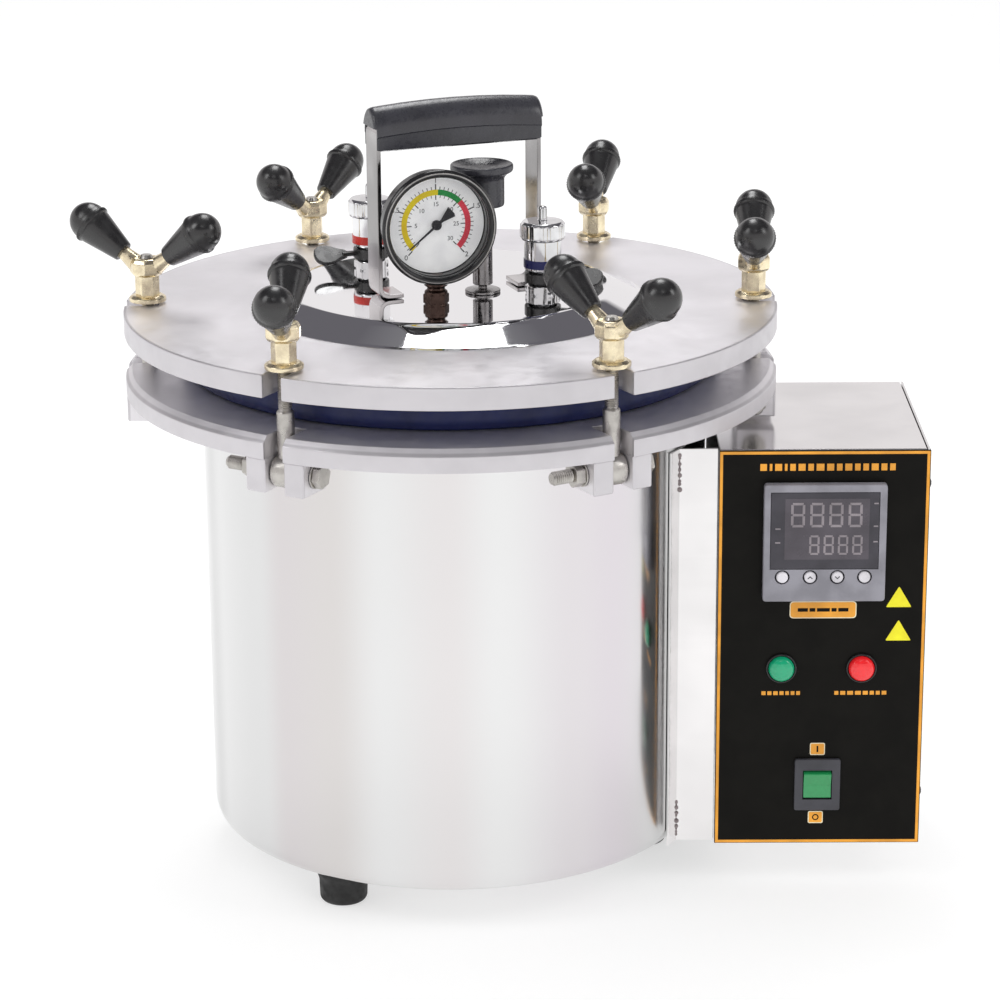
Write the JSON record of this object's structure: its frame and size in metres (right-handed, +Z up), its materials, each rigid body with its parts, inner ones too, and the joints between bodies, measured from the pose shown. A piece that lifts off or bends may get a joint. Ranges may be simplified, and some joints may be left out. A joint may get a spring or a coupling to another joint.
{
  "type": "benchtop autoclave",
  "caption": "Round steel pressure vessel with a flat clamped lid, swing bolts with wing nuts, lid gauge and valves, carrying handle and a side control box.",
  "frame": {"origin": "on the bench, under the middle of the whole part's footprint", "axes": "+X to the control box side, +Y to the back (the front panel faces -Y), +Z up"},
  "size_m": [0.5092, 0.4154, 0.471],
  "materials": {
    "polished_steel": "bright polished stainless sheet",
    "plate_aluminium": "fine machined satin plate",
    "dome_steel": "mirror polished stainless",
    "handle_steel": "bright stainless strip",
    "bolt_steel": "dull zinc plated steel",
    "nut_brass": "pale cast and polished brass",
    "valve_chrome": "chromed turned metal",
    "gasket_rubber": "navy moulded silicone rubber",
    "foot_rubber": "black moulded rubber",
    "grip_plastic": "satin black moulded plastic",
    "gloss_black": "glossy black",
    "panel_black": "black satin film with amber printed lines",
    "controller_grey": "fine textured grey moulding",
    "key_plastic": "light grey rubber keys",
    "display_window": "smoked glossy window",
    "dial_white": "white printed dial",
    "gauge_glass": "clear flat glass",
    "green_lens": "translucent green plastic",
    "red_lens": "translucent red plastic",
    "heater_sheath": "heat tinted sheath",
    "perforated_steel": "satin stainless sheet"
  },
  "bodies": {
    "vessel": {"vessel_drum": "polished_steel", "body_flange": "plate_aluminium", "lid_gasket": "gasket_rubber", "foot_1": "foot_rubber", "foot_2": "foot_rubber", "foot_3": "foot_rubber", "heating_element": "heater_sheath", "sensor_probe": "heater_sheath", "rack": "perforated_steel", "basket": "perforated_steel", "lid_plate": "plate_aluminium", "lid_dome": "dome_steel", "pivot_bolt_1": "bolt_steel", "pivot_bolt_2": "bolt_steel", "pivot_bolt_3": "bolt_steel", "pivot_bolt_4": "bolt_steel", "pivot_bolt_5": "bolt_steel", "pivot_bolt_6": "bolt_steel", "handle_bracket": "handle_steel", "handle_grip": "grip_plastic", "gauge_case": "gloss_black", "gauge_bezel": "gloss_black", "gauge_dial": "dial_white", "gauge_glass": "gauge_glass", "weight_valve_nozzle": "bolt_steel", "steam_valve_body": "valve_chrome", "safety_valve_body": "valve_chrome", "box_shell": "polished_steel", "box_side_cover": "polished_steel", "front_panel": "panel_black", "mounting_bracket": "polished_steel", "controller_body": "controller_grey", "controller_window": "display_window", "process_lamp": "green_lens", "low_water_lamp": "red_lens", "switch_frame": "grip_plastic", "mains_gland": "foot_rubber", "power_relay": "controller_grey"},
    "bolt_1": {"swing_bolt_1": "bolt_steel"},
    "nut_1": {"wing_nut_1": "nut_brass"},
    "bolt_2": {"swing_bolt_2": "bolt_steel"},
    "nut_2": {"wing_nut_2": "nut_brass"},
    "bolt_3": {"swing_bolt_3": "bolt_steel"},
    "nut_3": {"wing_nut_3": "nut_brass"},
    "bolt_4": {"swing_bolt_4": "bolt_steel"},
    "nut_4": {"wing_nut_4": "nut_brass"},
    "bolt_5": {"swing_bolt_5": "bolt_steel"},
    "nut_5": {"wing_nut_5": "nut_brass"},
    "bolt_6": {"swing_bolt_6": "bolt_steel"},
    "nut_6": {"wing_nut_6": "nut_brass"},
    "needle": {"gauge_needle": "gloss_black"},
    "weight": {"weight_valve_weight": "grip_plastic"},
    "steam_lever": {"steam_valve_lever": "gloss_black"},
    "safety_lever": {"safety_valve_lever": "gloss_black"},
    "key_1": {"key_1": "key_plastic"},
    "key_2": {"key_2": "key_plastic"},
    "key_3": {"key_3": "key_plastic"},
    "key_4": {"key_4": "key_plastic"},
    "rocker": {"switch_rocker": "green_lens"}
  },
  "joints": [
    {"name": "clamp_swing_1", "type": "hinge", "parent": "vessel", "child": "bolt_1", "pos_m": [0.15469, 0.0019, 0.2875], "axis": [-0.0105, 0.9999, 0], "range_deg": [0, 65]},
    {"name": "clamp_swing_2", "type": "hinge", "parent": "vessel", "child": "bolt_2", "pos_m": [0.06245, 0.15786, 0.2875], "axis": [-0.8712, 0.4909, 0], "range_deg": [0, 150]},
    {"name": "clamp_swing_3", "type": "hinge", "parent": "vessel", "child": "bolt_3", "pos_m": [-0.11874, 0.15597, 0.2875], "axis": [-0.8607, -0.509, 0], "range_deg": [0, 150]},
    {"name": "clamp_swing_4", "type": "hinge", "parent": "vessel", "child": "bolt_4", "pos_m": [-0.20769, -0.0019, 0.2875], "axis": [0.0105, -0.9999, 0], "range_deg": [0, 150]},
    {"name": "clamp_swing_5", "type": "hinge", "parent": "vessel", "child": "bolt_5", "pos_m": [-0.11545, -0.15786, 0.2875], "axis": [0.8712, -0.4909, 0], "range_deg": [0, 150]},
    {"name": "clamp_swing_6", "type": "hinge", "parent": "vessel", "child": "bolt_6", "pos_m": [0.06574, -0.15597, 0.2875], "axis": [0.8607, 0.509, 0], "range_deg": [0, 150]},
    {"name": "nut_spin_1", "type": "hinge", "parent": "bolt_1", "child": "nut_1", "pos_m": [0.15469, 0.0019, 0.35], "axis": [0, 0, 1], "continuous": true},
    {"name": "nut_spin_2", "type": "hinge", "parent": "bolt_2", "child": "nut_2", "pos_m": [0.06245, 0.15786, 0.35], "axis": [0, 0, 1], "continuous": true},
    {"name": "nut_spin_3", "type": "hinge", "parent": "bolt_3", "child": "nut_3", "pos_m": [-0.11874, 0.15597, 0.35], "axis": [0, 0, 1], "continuous": true},
    {"name": "nut_spin_4", "type": "hinge", "parent": "bolt_4", "child": "nut_4", "pos_m": [-0.20769, -0.0019, 0.35], "axis": [0, 0, 1], "continuous": true},
    {"name": "nut_spin_5", "type": "hinge", "parent": "bolt_5", "child": "nut_5", "pos_m": [-0.11545, -0.15786, 0.35], "axis": [0, 0, 1], "continuous": true},
    {"name": "nut_spin_6", "type": "hinge", "parent": "bolt_6", "child": "nut_6", "pos_m": [0.06574, -0.15597, 0.35], "axis": [0, 0, 1], "continuous": true},
    {"name": "gauge_needle_turn", "type": "hinge", "parent": "vessel", "child": "needle", "pos_m": [-0.0339, -0.047, 0.403], "axis": [-0.2588, 0.9659, 0], "range_deg": [0, 270], "stiffness_Nm_per_rad": 0.002, "springref_deg": -11.46},
    {"name": "weight_lift", "type": "slide", "parent": "vessel", "child": "weight", "axis": [0, 0, 1], "range_m": [0, 0.0025]},
    {"name": "steam_valve_lever_turn", "type": "hinge", "parent": "vessel", "child": "steam_lever", "pos_m": [0.0285, -0.023, 0.365], "axis": [0, 0, 1], "range_deg": [-90, 0]},
    {"name": "safety_valve_lever_turn", "type": "hinge", "parent": "vessel", "child": "safety_lever", "pos_m": [-0.0757, 0.0425, 0.365], "axis": [0, 0, 1], "range_deg": [-90, 0]},
    {"name": "key_1_press", "type": "slide", "parent": "vessel", "child": "key_1", "axis": [0, 1, 0], "range_m": [0, 0.001], "stiffness_N_per_m": 300, "springref_m": -0.001},
    {"name": "key_2_press", "type": "slide", "parent": "vessel", "child": "key_2", "axis": [0, 1, 0], "range_m": [0, 0.001], "stiffness_N_per_m": 300, "springref_m": -0.001},
    {"name": "key_3_press", "type": "slide", "parent": "vessel", "child": "key_3", "axis": [0, 1, 0], "range_m": [0, 0.001], "stiffness_N_per_m": 300, "springref_m": -0.001},
    {"name": "key_4_press", "type": "slide", "parent": "vessel", "child": "key_4", "axis": [0, 1, 0], "range_m": [0, 0.001], "stiffness_N_per_m": 300, "springref_m": -0.001},
    {"name": "power_switch_rock", "type": "hinge", "parent": "vessel", "child": "rocker", "pos_m": [0.2189, -0.0755, 0.0637], "axis": [1, 0, 0], "range_deg": [-16, 0]}
  ]
}
